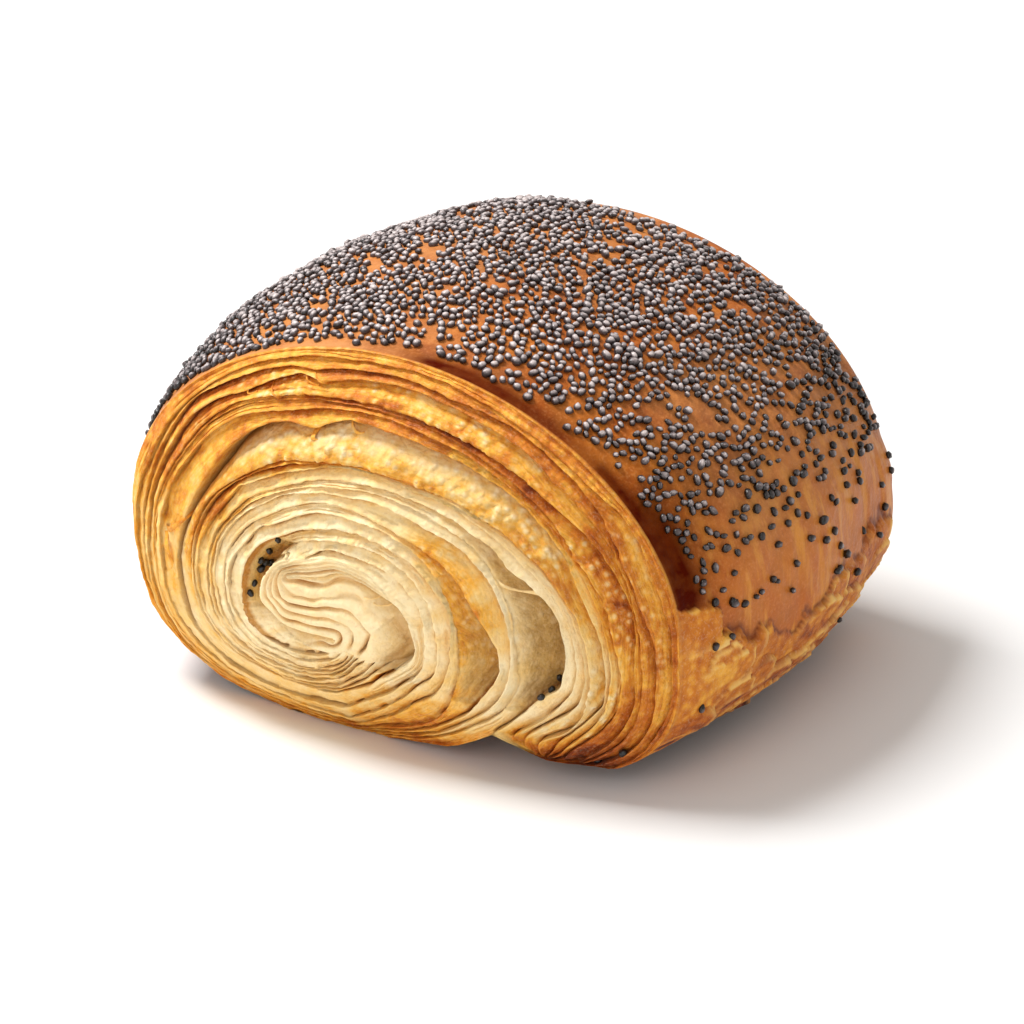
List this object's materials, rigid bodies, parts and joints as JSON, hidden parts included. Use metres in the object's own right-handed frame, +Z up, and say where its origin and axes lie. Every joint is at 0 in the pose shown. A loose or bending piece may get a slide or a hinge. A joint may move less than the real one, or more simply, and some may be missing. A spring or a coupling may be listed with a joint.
{
  "type": "danish pastry",
  "caption": "Domed danish pastry: a slice of rolled laminated dough with a spiral of flaky layers on its cut faces and a glazed crust strewn with poppy seeds.",
  "frame": {"origin": "centre of the footprint's bounding rectangle, on the surface the pastry rests on", "axes": "+X across the roll, to the right as the spiral cut face is seen; -Y out of the spiral cut face; +Z up"},
  "size_m": [0.0962, 0.0806, 0.0594],
  "materials": {
    "baked_dough": "egg-glazed brown crust over matte, pale, flaky dough"
  },
  "bodies": {
    "root": {"danish_pastry": "baked_dough"}
  },
  "joints": []
}
